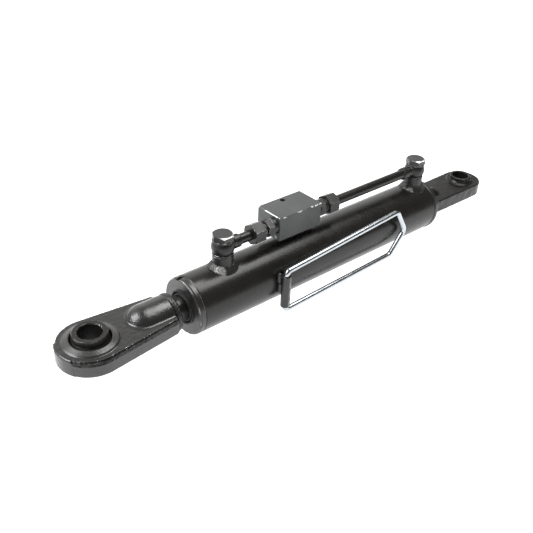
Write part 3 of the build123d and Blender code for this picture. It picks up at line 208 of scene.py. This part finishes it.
# ---------------------------------------------------------------- finishes
class Finish:
    """A material under construction, with short ways to add nodes to it."""

    def __init__(self, name):
        self.material = bpy.data.materials.new(name)
        self.material.use_nodes = True
        self.tree = self.material.node_tree
        self.shader = self.tree.nodes["Principled BSDF"]
        self.place = self.tree.nodes.new("ShaderNodeTexCoord").outputs["Object"]

    def put(self, kind, **settings):
        node = self.tree.nodes.new("ShaderNode" + kind)
        for key, value in settings.items():
            setattr(node, key, value)
        return node

    def feed(self, socket, value):
        """Set a socket to a number or colour, or join it to another node's output."""
        if isinstance(value, bpy.types.NodeSocket):
            self.tree.links.new(value, socket)
        else:
            socket.default_value = value

    def set(self, **values):
        """Fill the shader's sockets, written as base_color, roughness and so on."""
        for key, value in values.items():
            self.feed(self.shader.inputs[SOCKETS[key]], value)

    def noise(self, scale, detail=4.0, roughness=0.55, stretch=None):
        """Smooth noise, with scale in features per metre. Stretch scales X, Y and Z."""
        texture = self.put("TexNoise")
        texture.inputs["Scale"].default_value = scale
        texture.inputs["Detail"].default_value = detail
        texture.inputs["Roughness"].default_value = roughness
        where = self.place
        if stretch:
            mapping = self.put("Mapping")
            mapping.inputs["Scale"].default_value = stretch
            self.feed(mapping.inputs["Vector"], where)
            where = mapping.outputs[0]
        self.feed(texture.inputs["Vector"], where)
        return texture.outputs["Fac"]

    def ramp(self, value, low, high, to_low=0.0, to_high=1.0):
        """Map value from low..high onto to_low..to_high, smoothly and held at the ends."""
        spread = self.put("MapRange", interpolation_type="SMOOTHSTEP")
        self.feed(spread.inputs["Value"], value)
        self.feed(spread.inputs["From Min"], low)
        self.feed(spread.inputs["From Max"], high)
        self.feed(spread.inputs["To Min"], to_low)
        self.feed(spread.inputs["To Max"], to_high)
        return spread.outputs["Result"]

    def maths(self, operation, a, b=0.0):
        """One step of arithmetic; b is left out where the operation takes one number."""
        result = self.put("Math", operation=operation)
        self.feed(result.inputs[0], a)
        self.feed(result.inputs[1], b)
        return result.outputs[0]

    def mix(self, share, a, b):
        """Blend colour a into colour b by share."""
        blend = self.put("Mix", data_type="RGBA")
        self.feed(blend.inputs["Factor"], share)
        self.feed(blend.inputs[6], a)
        self.feed(blend.inputs[7], b)
        return blend.outputs[2]

    def between(self, share, a, b):
        """Blend number a into number b by share."""
        blend = self.put("Mix", data_type="FLOAT")
        self.feed(blend.inputs["Factor"], share)
        self.feed(blend.inputs[2], a)
        self.feed(blend.inputs[3], b)
        return blend.outputs[0]

    def edges(self, radius):
        """From 0 on flat stretches to about 1 on edges sharper than radius."""
        bevel = self.put("Bevel", samples=6)
        bevel.inputs["Radius"].default_value = radius
        shape = self.put("NewGeometry")
        same = self.put("VectorMath", operation="DOT_PRODUCT")
        self.feed(same.inputs[0], bevel.outputs["Normal"])
        self.feed(same.inputs[1], shape.outputs["Normal"])
        return self.ramp(same.outputs["Value"], 0.995, 0.86)

    def bump(self, height, distance, strength, under=None):
        """Raise the surface by height times distance, over an earlier bump if given."""
        relief = self.put("Bump")
        self.feed(relief.inputs["Height"], height)
        relief.inputs["Distance"].default_value = distance
        relief.inputs["Strength"].default_value = strength
        if under:
            self.feed(relief.inputs["Normal"], under)
        return relief.outputs["Normal"]

    def part(self, axis):
        """The X, Y or Z coordinate in the link's frame, in metres."""
        split = self.put("SeparateXYZ")
        self.feed(split.inputs[0], self.place)
        return split.outputs[axis]

    def length(self, a, b):
        """The length of the arrow with these two parts."""
        squares = self.maths("ADD", self.maths("MULTIPLY", a, a), self.maths("MULTIPLY", b, b))
        return self.maths("SQRT", squares)

    def off_axis(self):
        """Distance from the cylinder's axis."""
        return self.length(self.part("Y"), self.part("Z"))

    def gap(self, value, target):
        """How far the value is from the target, either way."""
        return self.maths("ABSOLUTE", self.maths("SUBTRACT", value, target))

    def distance(self, spot):
        """Distance from a spot in the link's frame."""
        apart = self.put("VectorMath", operation="DISTANCE")
        self.feed(apart.inputs[0], self.place)
        self.feed(apart.inputs[1], spot)
        return apart.outputs["Value"]

    def facing(self, way):
        """1 where the surface faces the given way, 0 where it is square to it."""
        shape = self.put("NewGeometry")
        along = self.put("VectorMath", operation="DOT_PRODUCT")
        self.feed(along.inputs[0], shape.outputs["Normal"])
        self.feed(along.inputs[1], tuple(Vector(way).normalized()))
        return along.outputs["Value"]


SOCKETS = {
    "base_color": "Base Color",
    "roughness": "Roughness",
    "metallic": "Metallic",
    "normal": "Normal",
    "ior": "IOR",
    "specular": "Specular IOR Level",
}
STEEL = (0.60, 0.59, 0.57, 1)


class Paint(Finish):
    """Black machine paint: faint colour clouds, orange peel, dust, and steel worn bare on the edges."""

    def __init__(self, name, dark, light, gloss, grain=0.0, specular=0.5):
        super().__init__(name)
        clouds = self.noise(22, detail=5)
        self.colour = self.mix(self.ramp(clouds, 0.35, 0.7), dark, light)
        specks = self.ramp(self.noise(900, detail=2), 0.66, 0.8, 0.0, DUST)
        self.colour = self.mix(specks, self.colour, tuple(4 * c for c in light[:3]) + (1,))
        self.rough = self.ramp(self.noise(60, detail=6), 0.3, 0.75, *gloss)
        self.relief = self.bump(self.noise(320, detail=2, roughness=0.4), 0.05 * MM, 0.35)
        self.metal = 0.0
        self.specular = specular
        if grain:
            coarse = self.bump(self.noise(430, detail=3, roughness=0.6), grain, 0.8, under=self.relief)
            self.relief = self.bump(self.noise(1500, detail=2), 0.35 * grain, 0.7, under=coarse)

    def bare(self, share, colour, rough=0.38):
        """Show bare metal where share is near 1."""
        self.metal = self.maths("MAXIMUM", self.metal, share)
        self.colour = self.mix(share, self.colour, colour)
        self.rough = self.between(share, self.rough, rough)
        return self

    def worn(self, radius, share, colour=STEEL):
        """Wear edges sharper than radius, in patches; a share near 1 leaves little paint on them."""
        low = 0.66 - 0.34 * share
        patchy = self.ramp(self.noise(260, detail=5, roughness=0.65), low, low + 0.05)
        edge = self.maths("MULTIPLY", self.edges(radius), patchy)
        return self.bare(edge, colour)

    def turned(self, distance, pitch, depth):
        """Fine rings that a lathe tool leaves, by distance from the axis."""
        wave = self.maths("SINE", self.maths("MULTIPLY", distance, 2 * math.pi / pitch))
        self.relief = self.bump(wave, depth, 0.8, under=self.relief)
        return self

    def done(self):
        """Join the paint to the shader."""
        self.set(
            base_color=self.colour,
            roughness=self.rough,
            metallic=self.metal,
            normal=self.relief,
            specular=self.specular,
            ior=1.5,
        )
        return self.material


def bright_metal(name, colour, rough, stretch=(1, 1, 1), peel=0.01 * MM):
    """Bare or plated metal with fine marks, stretched if drawn or turned. Peel is their depth."""
    finish = Finish(name)
    marks = finish.noise(1400, detail=3, stretch=stretch)
    blotches = finish.noise(70, detail=5)
    shade = finish.ramp(blotches, 0.3, 0.7, 0.0, 0.35)
    tone = finish.mix(shade, colour, tuple(0.72 * c for c in colour[:3]) + (1,))
    roughness = finish.ramp(marks, 0.25, 0.75, 0.75 * rough, 1.25 * rough)
    normal = finish.bump(marks, peel, 0.6)
    finish.set(base_color=tone, roughness=roughness, metallic=1.0, normal=normal)
    return finish.material


def soft_seal(name, dark, light, rough):
    """Moulded rubber or seal plastic: matt, slightly mottled."""
    finish = Finish(name)
    colour = finish.mix(finish.ramp(finish.noise(180), 0.3, 0.7), dark, light)
    finish.set(
        base_color=colour,
        roughness=finish.ramp(finish.noise(500), 0.3, 0.7, rough - 0.08, rough + 0.08),
        normal=finish.bump(finish.noise(1200, detail=2), 0.02 * MM, 0.5),
    )
    return finish.material


DUST = 0.15  # how strongly the pale specks show
BLACK = (0.0078, 0.0073, 0.0067, 1)
BLACK_LIT = (0.013, 0.0122, 0.0113, 1)
GREY = (0.014, 0.014, 0.0135, 1)
GREY_LIT = (0.023, 0.023, 0.022, 1)
SLATE = (0.040, 0.0425, 0.0425, 1)
SLATE_LIT = (0.050, 0.053, 0.053, 1)
CHROME = (0.70, 0.71, 0.72, 1)
BRIGHT = (0.86, 0.85, 0.83, 1)
GROUND_AND_GLINT = (0.55, 0.545, 0.53, 1)
SLEEVE_STRIPE_TONE = (0.24, 0.225, 0.20, 1)
GLAND_EDGE = (0.34, 0.33, 0.32, 1)


def plain_paint(name, dark, light, gloss, specular, wear=None):
    """Paint with the same wear on every edge. Wear is (edge radius in metres, share worn)."""
    finish = Paint(name, dark, light, gloss, specular=specular)
    if wear:
        finish.worn(*wear)
    return finish.done()


def rod_finish():
    """Hard chrome, painted over on the stretch that stands out of the gland at rest."""
    finish = Paint("rod_chrome", BLACK, BLACK_LIT, gloss=(0.22, 0.34))
    gland_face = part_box("gland")[0].x
    blur = 0.3 * MM
    chrome = finish.ramp(finish.part("X"), gland_face - blur, gland_face + blur)
    return finish.bare(chrome, CHROME, rough=0.09).done()


def gland_finish():
    """Satin paint over a turned nut, with patchy bright steel lines beside the tube and round the face:
    painted highlights for the glints on those chamfers, with worn steel as well beside the tube.
    """
    finish = Paint("gland_paint", BLACK, BLACK_LIT, gloss=(0.28, 0.38), specular=0.6)
    from_axis = finish.off_axis()
    finish.turned(from_axis, 1.3 * MM, 0.03 * MM)
    joint_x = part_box("barrel_tube")[0].x - 0.6 * MM
    rim_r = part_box("gland")[1].z - 1.0 * MM
    patchy = finish.ramp(finish.noise(90, detail=4), 0.42, 0.6)
    # The line beside the tube: worn steel, and a painted highlight for the glint on the tube's chamfer.
    joint = finish.ramp(finish.gap(finish.part("X"), joint_x), 0.45 * MM, 0.2 * MM)
    finish.bare(finish.maths("MULTIPLY", joint, patchy), STEEL)
    # The line round the face: a painted highlight in bare steel, for the glint on the gland's chamfer.
    rim = finish.ramp(finish.gap(from_axis, rim_r), 0.4 * MM, 0.2 * MM)
    half_rim_glint = finish.maths("MULTIPLY", finish.maths("MULTIPLY", rim, patchy), 0.5)
    finish.bare(half_rim_glint, STEEL)
    return finish.worn(0.5 * MM, 0.55, colour=GLAND_EDGE).done()


def eye_finish(name, middle_x, lip_r, wear, grain, specular, shine=0.0):
    """A painted eye, turned on the lip round its ball. Shine is the lip's share of bare steel."""
    finish = Paint(name, BLACK, GREY, (0.22, 0.34), grain, specular)
    across = finish.maths("SUBTRACT", finish.part("X"), middle_x)
    radius = finish.length(across, finish.part("Y"))
    fade = 1.2 * MM
    lip = finish.ramp(radius, lip_r, lip_r - fade)
    ring_pitch = 1.5 * MM
    wave = finish.maths("SINE", finish.maths("MULTIPLY", radius, 2 * math.pi / ring_pitch))
    rings = finish.maths("MULTIPLY", wave, lip)
    finish.relief = finish.bump(rings, 0.05 * MM, 0.9, under=finish.relief)
    if shine:
        finish.bare(finish.maths("MULTIPLY", lip, shine), STEEL, rough=0.3)
    return finish.worn(*wear).done()


def bolt_finish(side):
    """A dark bolt head, bright on its corners near the top, on the front half only: worn plating, and a
    painted highlight where the light glints.
    """
    finish = Paint(side + "_bolt_paint", GREY, GREY_LIT, gloss=(0.3, 0.4), specular=0.5)
    low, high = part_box(side + "_banjo_bolt")
    across = finish.maths("SUBTRACT", finish.part("X"), (low.x + high.x) / 2)
    radius = finish.length(across, finish.part("Y"))
    toward = finish.maths("SUBTRACT", finish.maths("MULTIPLY", across, 0.5), finish.part("Y"))
    ragged = finish.maths("MULTIPLY", finish.noise(330, detail=4, roughness=0.6), 3.0 * MM)
    corners = finish.ramp(finish.maths("ADD", radius, ragged), 11.7 * MM, 12.1 * MM)
    depth = finish.maths("ADD", finish.maths("SUBTRACT", high.z, finish.part("Z")), ragged)
    near_top = finish.ramp(depth, 2.9 * MM, 2.5 * MM)
    # Front half only: the bright corners there are worn plating and a painted highlight.
    front = finish.ramp(toward, 1 * MM, 5 * MM)
    rim = finish.maths("MULTIPLY", finish.maths("MULTIPLY", corners, near_top), front)
    return finish.bare(rim, BRIGHT, rough=0.3).worn(0.8 * MM, 0.35).done()


def valve_finish():
    """Thin satin paint on a sawn block, chipped on its upper front edge and rubbed on its upper end."""
    finish = Paint("valve_paint", SLATE, SLATE_LIT, gloss=(0.42, 0.55))
    low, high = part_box("valve_block")
    to_top = finish.maths("SUBTRACT", high.z, finish.part("Z"))
    to_front = finish.maths("SUBTRACT", finish.part("Y"), low.y)
    to_end = finish.maths("SUBTRACT", finish.part("X"), low.x)
    flakes = finish.noise(170, detail=5, roughness=0.7)
    chip_width = finish.ramp(flakes, 0.5, 0.64, 0.0, 1.45 * MM)
    from_front_edge = finish.length(to_top, to_front)
    chips = finish.ramp(finish.maths("SUBTRACT", from_front_edge, chip_width), 0.25 * MM, -0.05 * MM)
    rub_width = finish.ramp(flakes, 0.4, 0.6, 0.2 * MM, 0.75 * MM)
    from_end_edge = finish.length(to_top, to_end)
    rub = finish.ramp(finish.maths("SUBTRACT", from_end_edge, rub_width), 0.15 * MM, -0.1 * MM)
    patchy = finish.ramp(finish.noise(85, detail=3), 0.44, 0.56, 0.15, 0.85)
    rub = finish.maths("MULTIPLY", rub, patchy)
    return finish.bare(finish.maths("MAXIMUM", chips, rub), BRIGHT, rough=0.4).done()


def weld_finish(name, spot=None, reach=5 * MM, share=1.0):
    """A painted weld bead, with streaks of bare steel round the spot if one is given: grinding marks on
    the near weld, a painted highlight on the far one.

    Reach is how far the patch goes, and share is how bare its streaks are.
    """
    finish = Paint(name, BLACK, GREY, gloss=(0.3, 0.45), grain=0.06 * MM)
    finish.worn(0.4 * MM, 0.2)
    if spot:
        ragged = finish.maths("MULTIPLY", finish.noise(420, detail=4, stretch=(1, 3, 1)), reach)
        far = finish.maths("SUBTRACT", finish.distance(spot), ragged)
        grinding_and_glint = finish.ramp(far, 0.75 * reach, 0.45 * reach)
        strokes = finish.noise(800, detail=3, stretch=(0.35, 1.6, 1))
        streaks = finish.ramp(strokes, 0.36, 0.6, 0.25, share)
        finish.bare(finish.maths("MULTIPLY", grinding_and_glint, streaks), GROUND_AND_GLINT, rough=0.45)
    return finish.done()


def sleeve_finish():
    """The rolled strip that hinges the bail, with a dull stripe down the side that faces front and
    towards the base end.
    """
    finish = Paint("sleeve_paint", BLACK, GREY, gloss=(0.3, 0.42), grain=0.04 * MM)
    stripe = finish.ramp(finish.facing((0.42, -0.91, 0)), 0.88, 0.95)
    patchy = finish.ramp(finish.noise(330, detail=4, stretch=(1, 1, 0.35)), 0.42, 0.56)
    finish.bare(finish.maths("MULTIPLY", stripe, patchy), SLEEVE_STRIPE_TONE, rough=0.5)
    return finish.worn(0.5 * MM, 0.3).done()


def finishes():
    """Each finish once, by name."""
    rod_eye_x = frame_mount("rod_eye_bore")[0]
    rod_port_x, base_port_x = (middle_of(side + "_port_boss").x for side in SIDES)
    barrel_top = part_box("barrel_tube")[1].z
    ground_spot = (rod_port_x - 12.5 * MM, -11 * MM, barrel_top - 0.5 * MM)
    # The far weld's spot is a painted highlight: its glint, drawn as streaks of bare steel.
    far_glint_spot = (base_port_x - 15 * MM, -9 * MM, barrel_top - 1 * MM)
    return {
        "barrel": plain_paint("barrel_paint", BLACK, BLACK_LIT, (0.24, 0.31), specular=0.33),
        "gland": gland_finish(),
        "forged": eye_finish(
            "forged_paint",
            rod_eye_x,
            ROD_LIP_R,
            wear=(0.7 * MM, 0.3),
            grain=0.13 * MM,
            specular=0.62,
            shine=0.03,
        ),
        "plate": eye_finish(
            "plate_paint", 0.0, BASE_LIP_R, wear=(0.5 * MM, 0.2), grain=0.025 * MM, specular=0.28
        ),
        "ball": plain_paint(
            "ball_paint", BLACK, BLACK_LIT, (0.3, 0.42), specular=0.32, wear=(0.6 * MM, 0.5)
        ),
        "weld": weld_finish("weld_paint"),
        "rod_side_port_weld": weld_finish("ground_weld", ground_spot, reach=6 * MM, share=0.8),
        "base_side_port_weld": weld_finish("far_weld_glint", far_glint_spot, reach=4.5 * MM, share=0.4),
        "fitting": plain_paint(
            "fitting_paint", BLACK, GREY, (0.3, 0.42), specular=0.38, wear=(0.6 * MM, 0.45)
        ),
        "rod_side_banjo_bolt": bolt_finish("rod_side"),
        "base_side_banjo_bolt": bolt_finish("base_side"),
        "valve": valve_finish(),
        "sleeve": sleeve_finish(),
        "zinc": bright_metal("zinc_wire", (0.47, 0.50, 0.525, 1), 0.2, peel=0.003 * MM),
        "rod": rod_finish(),
        "steel": bright_metal("machined_steel", (0.50, 0.49, 0.48, 1), 0.34, stretch=(6, 1, 1)),
        "rubber": soft_seal("seal_rubber", (0.012, 0.012, 0.012, 1), (0.02, 0.02, 0.02, 1), 0.6),
        "plastic": soft_seal("seal_plastic", (0.03, 0.09, 0.07, 1), (0.04, 0.12, 0.09, 1), 0.45),
    }


# the finish that each node wears
WEARS = {
    "barrel_tube": "barrel",
    "base_cap": "barrel",
    "base_cap_weld": "weld",
    "base_eye": "plate",
    "base_eye_weld": "weld",
    "base_eye_ball": "ball",
    "rod_eye": "forged",
    "rod_eye_ball": "ball",
    "rod_eye_weld": "weld",
    "piston_rod": "rod",
    "gland": "gland",
    "valve_block": "valve",
    "block_plug": "steel",
    "bail_sleeve": "sleeve",
    "bail_sleeve_welds": "weld",
    "wire_bail": "zinc",
    "wiper_seal": "rubber",
    "gland_o_ring": "rubber",
    "piston_o_ring": "rubber",
    "rod_seal": "plastic",
    "rod_guide_ring": "plastic",
    "piston_seal": "plastic",
    "piston_wear_rings": "plastic",
    "piston": "steel",
    "piston_nut": "steel",
    "pilot_piston": "steel",
    "port_boss": "fitting",
    "rod_side_port_weld": "rod_side_port_weld",
    "base_side_port_weld": "base_side_port_weld",
    "rod_side_banjo_bolt": "rod_side_banjo_bolt",
    "base_side_banjo_bolt": "base_side_banjo_bolt",
    "banjo_body": "fitting",
    "banjo_washers": "fitting",
    "pipe": "barrel",
    "union_body": "fitting",
    "union_seal": "rubber",
    "tube_nut": "fitting",
    "cutting_ring": "steel",
    "check_seat": "steel",
    "check_ball": "steel",
    "check_spring": "steel",
}


def dress():
    """Give every carried-over or worked piece its finish. The two sides share an entry if they can."""
    made = finishes()
    for name, piece in list(nodes.items()) + list(worked.items()):
        kind = name
        if kind not in WEARS:
            for side in SIDES:
                kind = kind.removeprefix(side + "_")
        piece.data.materials.clear()
        piece.data.materials.append(made[WEARS[kind]])


# ---------------------------------------------------------------- worked surfaces
worked = {}


class Worked:
    """A CAD node's shape remade of small even faces, so that its surface can be modelled."""

    def __init__(self, node, voxel):
        self.node = node
        self.piece = bpy.data.objects.new(node + "_worked", nodes[node].data.copy())
        bpy.context.scene.collection.objects.link(self.piece)
        even = self.piece.modifiers.new("even", "REMESH")
        even.mode = "VOXEL"
        even.voxel_size = voxel
        graph = bpy.context.evaluated_depsgraph_get()
        mesh = bpy.data.meshes.new_from_object(self.piece.evaluated_get(graph))
        self.piece.modifiers.clear()
        self.piece.data = mesh
        self.points = np.empty(3 * len(mesh.vertices))
        mesh.vertices.foreach_get("co", self.points)
        self.points = self.points.reshape(-1, 3)
        edges = np.empty(2 * len(mesh.edges), dtype=int)
        mesh.edges.foreach_get("vertices", edges)
        self.edges = edges.reshape(-1, 2)
        self.normals = np.array([vertex.normal for vertex in mesh.vertices])

    def relax(self, rounds, share):
        """Smooth the surface; share says how much at each point, from 0 to 1."""
        count = np.zeros(len(self.points))
        np.add.at(count, self.edges.ravel(), 1)
        for _ in range(rounds):
            total = np.zeros_like(self.points)
            np.add.at(total, self.edges[:, 0], self.points[self.edges[:, 1]])
            np.add.at(total, self.edges[:, 1], self.points[self.edges[:, 0]])
            middle = total / count[:, None]
            self.points += (middle - self.points) * np.reshape(share, (-1, 1))

    def grain(self, scale):
        """Noise from -1 to 1 at every point, with scale in features per metre."""
        return np.array([noise.noise(Vector(point) * scale) for point in self.points])

    def raise_by(self, height):
        """Move each point outwards by its height."""
        self.points += self.normals * np.reshape(height, (-1, 1))

    def keep(self):
        """Store the shape, and let it stand for the CAD node."""
        mesh = self.piece.data
        mesh.vertices.foreach_set("co", self.points.ravel())
        mesh.update()
        mesh.shade_smooth()
        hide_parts(self.node)
        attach(self.piece, body_of_node(self.node))
        worked[self.node] = self.piece


def work_bead(node, along, across, pitch, depth):
    """Lay overlapping crescents on a weld. along and across give each point's place on the bead."""
    bead = Worked(node, voxel=0.5 * MM)
    bead.relax(1, 0.5)
    x, y, z = bead.points.T
    curl = 1.5 * across(x, y, z) ** 2 / pitch
    wander = 0.35 * bead.grain(160)
    phase = np.mod((along(x, y, z) - curl) / pitch + wander, 1.0)
    crescent = 1.0 - (2.0 * phase - 1.0) ** 2
    bead.raise_by(depth * crescent + 0.12 * MM * bead.grain(600) + 0.1 * MM)
    bead.keep()


def work_round_weld(node, radius, pitch, depth):
    """A weld round the cylinder's axis."""
    middle_x = middle_of(node).x
    work_bead(
        node,
        lambda x, y, z: radius * np.arctan2(z, y),
        lambda x, y, z: x - middle_x,
        pitch,
        depth,
    )


def work_port_weld(node, port_x, radius, pitch, depth):
    """A weld round an upright port."""
    work_bead(
        node,
        lambda x, y, z: radius * np.arctan2(y, x - port_x),
        lambda x, y, z: np.hypot(x - port_x, y) - radius,
        pitch,
        depth,
    )


def work_welds():
    work_round_weld("base_cap_weld", 33 * MM, pitch=3.2 * MM, depth=0.2 * MM)
    work_round_weld("rod_eye_weld", 20 * MM, pitch=3.4 * MM, depth=0.4 * MM)
    work_round_weld("base_eye_weld", 24 * MM, pitch=3.4 * MM, depth=0.35 * MM)
    sleeve_x = middle_of("bail_sleeve_welds").x
    work_bead(
        "bail_sleeve_welds",
        lambda x, y, z: z,
        lambda x, y, z: x - sleeve_x,
        pitch=3.0 * MM,
        depth=0.3 * MM,
    )
    for side in SIDES:
        port_x = middle_of(side + "_port_boss").x
        work_port_weld(side + "_port_weld", port_x, 15 * MM, pitch=3.4 * MM, depth=0.35 * MM)


def work_forging():
    """The forged rod eye: drafted sides, a ragged parting line, a blended boss and a coarse skin."""
    eye = Worked("rod_eye", voxel=0.6 * MM)
    middle_x = frame_mount("rod_eye_bore")[0]
    x, y, z = eye.points.T
    radius = np.hypot(x - middle_x, y)
    from_ball = np.sqrt(radius**2 + z**2)
    machined = (radius < ROD_LIP_R + 0.8 * MM).astype(float) * (from_ball < 1.45 * ROD_LIP_R)
    skin = 1.0 - machined
    fold_reach = 3.2 * MM
    near_boss = np.abs(np.hypot(y, z) - BOSS_R) < fold_reach
    at_plate = np.abs(np.abs(z) - PLATE_HALF) < fold_reach
    fold = (near_boss & at_plate & (x > middle_x + ROD_LIP_R)).astype(float)
    eye.relax(2, 0.4 * skin)
    eye.relax(14, 0.6 * fold)
    x, y, z = eye.points.T

    # the sides slope in from the parting line, steeply above it
    flat = np.hypot(eye.normals[:, 0], eye.normals[:, 1])
    side = np.clip((flat - 0.25) / 0.4, 0, 1) * skin * (np.abs(z) < PLATE_HALF + 0.2 * MM)
    side *= np.hypot(y, np.maximum(0, z)) > BOSS_R * 0.9
    above = np.maximum(0, z - PARTING_Z)
    below = np.maximum(0, PARTING_Z - z)
    steep = 0.4
    slight = 0.04
    draft = steep * above + slight * below
    way = eye.normals * np.array([1, 1, 0])
    way /= np.maximum(np.linalg.norm(way, axis=1, keepdims=True), 0.01)
    eye.points -= way * (draft * side)[:, None]

    # a ragged parting line, a crest along the upper rim, and a coarser skin below and on the boss
    ragged = eye.grain(420)
    line_width = 0.55 * MM
    line = np.exp(-(((z - PARTING_Z) / line_width) ** 2)) * side
    crest_z = PLATE_HALF - 1.3 * MM
    crest_width = 0.9 * MM
    crest = np.exp(-(((z - crest_z) / crest_width) ** 2)) * np.clip(flat, 0, 1) * skin
    lower = np.clip((PARTING_Z - z) / MM, 0, 1) * side
    on_boss = np.clip((np.abs(z) - PLATE_HALF) / MM, 0, 1) * skin
    height = 0.45 * MM * line * (ragged + 0.3)
    height += 0.6 * MM * crest * np.maximum(0, ragged + 0.1)
    height += 0.09 * MM * lower * eye.grain(1100)
    height += 0.12 * MM * on_boss * eye.grain(900)
    height += (0.12 * MM - 0.09 * MM * on_boss) * skin * eye.grain(190)
    eye.raise_by(height)

    # the socket stays clear of the ball
    x, y, z = eye.points.T
    from_ball = np.sqrt((x - middle_x) ** 2 + y**2 + z**2)
    socket_r = BALL_R + 0.15 * MM
    inside = (from_ball < BALL_R + 0.5 * MM) & (np.abs(z) < PLATE_HALF)
    out = np.where(inside, socket_r / from_ball, 1.0)
    centre = np.array([middle_x, 0, 0])
    eye.points = centre + (eye.points - centre) * out[:, None]
    eye.keep()


def work_base_eye():
    """The cast base eye: softened edges, a hammered rim and a slightly uneven face."""
    eye = Worked("base_eye", voxel=0.6 * MM)
    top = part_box("base_eye")[1].z
    x, y, z = eye.points.T
    turned = np.hypot(x, y) < BASE_LIP_R
    skin = 1.0 - turned.astype(float)
    rim = (np.abs(z) > top - 2.5 * MM).astype(float) * skin
    eye.relax(5, 0.5)
    eye.relax(5, 0.6 * rim)
    flat = np.hypot(eye.normals[:, 0], eye.normals[:, 1])
    side = np.clip((flat - 0.25) / 0.4, 0, 1) * skin
    height = (0.35 * MM * eye.grain(95) - 0.25 * MM) * side
    height += 0.1 * MM * side * eye.grain(500)
    height += (0.1 * MM * eye.grain(120) - 0.1 * MM) * skin
    eye.raise_by(height)
    eye.keep()


def press_springs():
    """Each check spring gets its own copy of the coil, carried by its body in place of the CAD node."""
    for side, stop in zip(SIDES, (0, 1)):
        node = side + "_check_spring"
        spring = bpy.data.objects.new(node + "_coil", nodes[node].data.copy())
        bpy.context.scene.collection.objects.link(spring)
        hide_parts(node)
        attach(spring, body_of_node(node))
        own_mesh(spring)
        worked[node] = spring


def work_pieces():
    work_welds()
    work_forging()
    work_base_eye()
    press_springs()


add_camera()
add_floor()
add_world()
add_lights()
add_fill()
work_pieces()
dress()
bpy.context.scene.view_settings.view_transform = "Standard"
